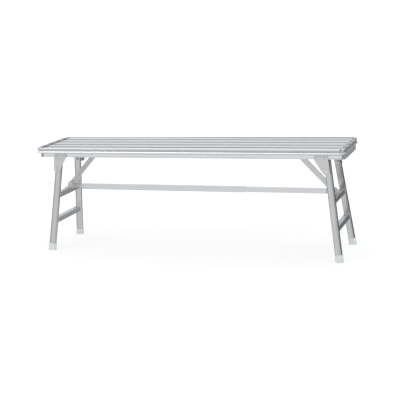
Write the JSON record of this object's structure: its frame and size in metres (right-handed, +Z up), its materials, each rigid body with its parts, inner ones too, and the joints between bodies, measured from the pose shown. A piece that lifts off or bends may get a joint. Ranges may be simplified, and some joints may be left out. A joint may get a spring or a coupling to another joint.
{
  "type": "folding bench",
  "caption": "Long low aluminium bench with a slatted seat, splayed ladder legs that fold under it, hooked struts and a telescopic stretcher.",
  "frame": {"origin": "on the floor under the middle of the seat", "axes": "+X along the bench, +Y to its rear edge, +Z up"},
  "size_m": [1.48, 0.33, 0.5],
  "materials": {
    "mill_aluminium": "mill finish extrusion, satin",
    "plate_aluminium": "matt plate",
    "zinc_steel": "zinc plated",
    "cap_plastic": "moulded grey, satin",
    "foot_plastic": "natural polyethylene"
  },
  "bodies": {
    "seat": {"front_rail": "mill_aluminium", "rear_rail": "mill_aluminium", "slat_1": "mill_aluminium", "slat_2": "mill_aluminium", "slat_3": "mill_aluminium", "end_cap_left": "cap_plastic", "end_cap_right": "cap_plastic", "bearer_1": "mill_aluminium", "bearer_2": "mill_aluminium", "bearer_3": "mill_aluminium", "bearer_4": "mill_aluminium", "bearer_5": "mill_aluminium", "gusset_front_left": "plate_aluminium", "gusset_rear_left": "plate_aluminium", "gusset_front_right": "plate_aluminium", "gusset_rear_right": "plate_aluminium", "pivot_bolt_front_left": "zinc_steel", "pivot_bolt_rear_left": "zinc_steel", "pivot_bolt_front_right": "zinc_steel", "pivot_bolt_rear_right": "zinc_steel", "pivot_nut_front_left": "zinc_steel", "pivot_nut_rear_left": "zinc_steel", "pivot_nut_front_right": "zinc_steel", "pivot_nut_rear_right": "zinc_steel", "strut_hinge_left": "plate_aluminium", "strut_hinge_right": "plate_aluminium", "strut_hinge_pin_left": "zinc_steel", "strut_hinge_pin_right": "zinc_steel"},
    "frame_left": {"leg_front_left": "mill_aluminium", "leg_rear_left": "mill_aluminium", "foot_cap_front_left": "foot_plastic", "foot_cap_rear_left": "foot_plastic", "pivot_bush_front_left": "zinc_steel", "pivot_bush_rear_left": "zinc_steel", "upper_rung_left": "mill_aluminium", "lower_rung_left": "mill_aluminium", "rung_bracket_left": "plate_aluminium", "strut_pin_left": "zinc_steel", "stretcher_pin_left": "zinc_steel"},
    "frame_right": {"leg_front_right": "mill_aluminium", "leg_rear_right": "mill_aluminium", "foot_cap_front_right": "foot_plastic", "foot_cap_rear_right": "foot_plastic", "pivot_bush_front_right": "zinc_steel", "pivot_bush_rear_right": "zinc_steel", "upper_rung_right": "mill_aluminium", "lower_rung_right": "mill_aluminium", "rung_bracket_right": "plate_aluminium", "strut_pin_right": "zinc_steel", "stretcher_pin_right": "zinc_steel"},
    "strut_left": {"strut_left": "mill_aluminium"},
    "strut_right": {"strut_right": "mill_aluminium"},
    "stretcher_outer_half": {"stretcher_outer": "mill_aluminium", "stretcher_tongue_left": "mill_aluminium"},
    "stretcher_inner_half": {"stretcher_inner": "mill_aluminium", "stretcher_tongue_right": "mill_aluminium"}
  },
  "joints": [
    {"name": "left_fold", "type": "hinge", "parent": "seat", "child": "frame_left", "pos_m": [-0.654, 0, 0.4], "axis": [0, -1, 0], "range_deg": [0, 97.05]},
    {"name": "right_fold", "type": "hinge", "parent": "seat", "child": "frame_right", "pos_m": [0.654, 0, 0.4], "axis": [0, 1, 0], "range_deg": [0, 97.05]},
    {"name": "strut_left_swing", "type": "hinge", "parent": "seat", "child": "strut_left", "pos_m": [-0.522, 0.027, 0.437], "axis": [0, 1, 0], "range_deg": [0, 46.5]},
    {"name": "strut_right_swing", "type": "hinge", "parent": "seat", "child": "strut_right", "pos_m": [0.522, -0.027, 0.437], "axis": [0, -1, 0], "range_deg": [0, 46.5]},
    {"name": "stretcher_outer_swing", "type": "hinge", "parent": "frame_left", "child": "stretcher_outer_half", "pos_m": [-0.63711, 0, 0.28405], "axis": [0, 1, 0], "range_deg": [0, 97.05]},
    {"name": "stretcher_inner_swing", "type": "hinge", "parent": "frame_right", "child": "stretcher_inner_half", "pos_m": [0.63711, 0, 0.28405], "axis": [0, -1, 0], "range_deg": [0, 97.05]}
  ],
  "couplings": [
    {"joint": "right_fold", "follows": "left_fold", "ratio": 1},
    {"joint": "strut_left_swing", "follows": "left_fold", "ratio": 0.4788},
    {"joint": "strut_right_swing", "follows": "left_fold", "ratio": 0.4788},
    {"joint": "stretcher_outer_swing", "follows": "left_fold", "ratio": 1},
    {"joint": "stretcher_inner_swing", "follows": "left_fold", "ratio": 1}
  ]
}
